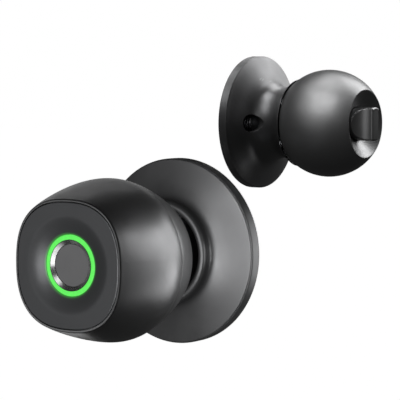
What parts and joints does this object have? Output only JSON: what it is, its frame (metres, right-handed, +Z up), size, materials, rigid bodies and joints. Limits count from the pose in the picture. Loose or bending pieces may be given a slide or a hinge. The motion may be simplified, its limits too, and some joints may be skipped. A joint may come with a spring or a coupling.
{
  "type": "fingerprint knob lock set",
  "caption": "Fingerprint door knob lock: battery knob with lit sensor face, sprung tubular latch and spindle, and a separate ball inside knob with thumb-turn.",
  "frame": {"origin": "centre of the outside rose's back face, on the spindle axis", "axes": "+Z up; +Y from the outside half towards the door and along the spindle; the latch reaches towards -X; the inside half's own axis runs along +X"},
  "size_m": [0.1157, 0.2144, 0.1278],
  "materials": {
    "graphite_metal": "dark graphite, satin to glossy, smooth lacquer over cast zinc",
    "ball_metal": "dark grey, glossy lacquer over a spun shell",
    "panel_plastic": "matte charcoal plastic with a very fine texture",
    "light_ring_green": "lit green light guide",
    "bezel_metal": "bright turned metal",
    "sensor_glass": "dark grey, smooth satin sensor cover",
    "turn_metal": "dark satin metal with polished edges",
    "zinc_steel": "zinc-plated pressed steel",
    "fixing_steel": "bright screw steel",
    "spring_steel": "oiled spring wire",
    "cast_zinc": "bare die-cast metal",
    "latch_brass": "nickel-brass casting, lightly worn",
    "black_nylon": "black moulded nylon",
    "white_nylon": "natural bearing nylon",
    "board_green": "green circuit board",
    "chip_black": "black moulded chip packages",
    "led_white": "small light emitter packages",
    "ribbon_orange": "orange flexible film",
    "cell_wrap": "plain dark cell wrap without print",
    "contact_plate": "plated contact metal",
    "motor_case": "bright motor can"
  },
  "bodies": {
    "fixed_parts": {"outside_base_ring": "graphite_metal", "outside_rose_cover": "graphite_metal", "outside_mounting_plate": "zinc_steel", "outside_bearing_sleeve": "white_nylon", "mounting_posts": "fixing_steel", "plate_screws": "fixing_steel", "spring_cassette_cup": "zinc_steel", "outside_return_spring": "spring_steel", "latch_faceplate": "graphite_metal", "latch_backplate": "zinc_steel", "latch_tube": "zinc_steel", "latch_bulkhead": "zinc_steel", "latch_cheeks": "zinc_steel", "latch_rivets": "fixing_steel", "bolt_spring": "spring_steel", "plunger_spring": "spring_steel", "through_bolts": "fixing_steel", "inside_rose": "graphite_metal", "inside_mounting_plate": "zinc_steel", "inside_bearing_sleeve": "white_nylon", "inside_return_spring": "spring_steel"},
    "outside_knob": {"knob_rear_shell": "graphite_metal", "knob_front_shell": "graphite_metal", "face_panel": "panel_plastic", "led_light_ring": "light_ring_green", "sensor_bezel": "bezel_metal", "fingerprint_sensor": "sensor_glass", "sensor_board": "board_green", "status_leds": "led_white", "sensor_ribbon": "ribbon_orange", "main_board": "board_green", "board_components": "chip_black", "emergency_power_port": "fixing_steel", "battery_holder": "black_nylon", "aaa_cells": "cell_wrap", "battery_contact_plates": "contact_plate", "battery_springs": "spring_steel", "holder_screws": "fixing_steel", "clutch_motor": "motor_case", "clutch_guide": "black_nylon", "outside_circlip": "spring_steel", "outside_spring_driver": "zinc_steel"},
    "clutch_pin_body": {"clutch_pin": "fixing_steel"},
    "spindle": {"spindle_bar": "fixing_steel", "clutch_hub": "cast_zinc", "latch_hub": "cast_zinc"},
    "latch_bolt": {"latch_bolt_head": "latch_brass", "retractor_yoke": "zinc_steel"},
    "deadlatch": {"deadlatch_plunger": "latch_brass"},
    "inside_knob": {"inside_knob_shell": "ball_metal", "inside_drive_tube": "zinc_steel", "inside_circlip": "spring_steel", "inside_spring_driver": "zinc_steel", "knob_grub_screw": "fixing_steel"},
    "thumb_turn": {"thumb_turn_button": "turn_metal", "lock_bar": "fixing_steel", "thumb_turn_clip": "spring_steel"}
  },
  "joints": [
    {"name": "outside_knob_turn", "type": "hinge", "parent": "fixed_parts", "child": "outside_knob", "pos_m": [0, 0, 0], "axis": [0, 1, 0], "range_deg": [0, 60], "stiffness_Nm_per_rad": 0.35, "deforming": ["outside_return_spring"]},
    {"name": "spindle_turn", "type": "hinge", "parent": "fixed_parts", "child": "spindle", "pos_m": [0, 0.0225, 0], "axis": [0, 1, 0], "range_deg": [0, 60.5]},
    {"name": "latch_bolt_slide", "type": "slide", "parent": "fixed_parts", "child": "latch_bolt", "axis": [1, 0, 0], "range_m": [0, 0.0106], "deforming": ["bolt_spring"]},
    {"name": "deadlatch_slide", "type": "slide", "parent": "fixed_parts", "child": "deadlatch", "axis": [1, 0, 0], "range_m": [0, 0.0092], "stiffness_N_per_m": 120, "springref_m": -0.002, "deforming": ["plunger_spring"]},
    {"name": "clutch_pin_slide", "type": "slide", "parent": "outside_knob", "child": "clutch_pin_body", "axis": [0, 0, 1], "range_m": [0, 0.0036]},
    {"name": "inside_knob_turn", "type": "hinge", "parent": "fixed_parts", "child": "inside_knob", "pos_m": [-0.026, 0.1005, 0.0543], "axis": [1, 0, 0], "range_deg": [-60, 60], "stiffness_Nm_per_rad": 0.3, "deforming": ["inside_return_spring"]},
    {"name": "thumb_turn_turn", "type": "hinge", "parent": "inside_knob", "child": "thumb_turn", "pos_m": [0.034, 0.1005, 0.0543], "axis": [1, 0, 0], "range_deg": [0, 90]}
  ],
  "couplings": [
    {"joint": "spindle_turn", "follows": "outside_knob_turn", "ratio": 1},
    {"joint": "latch_bolt_slide", "follows": "outside_knob_turn", "m_per_rad": 0.010027}
  ]
}
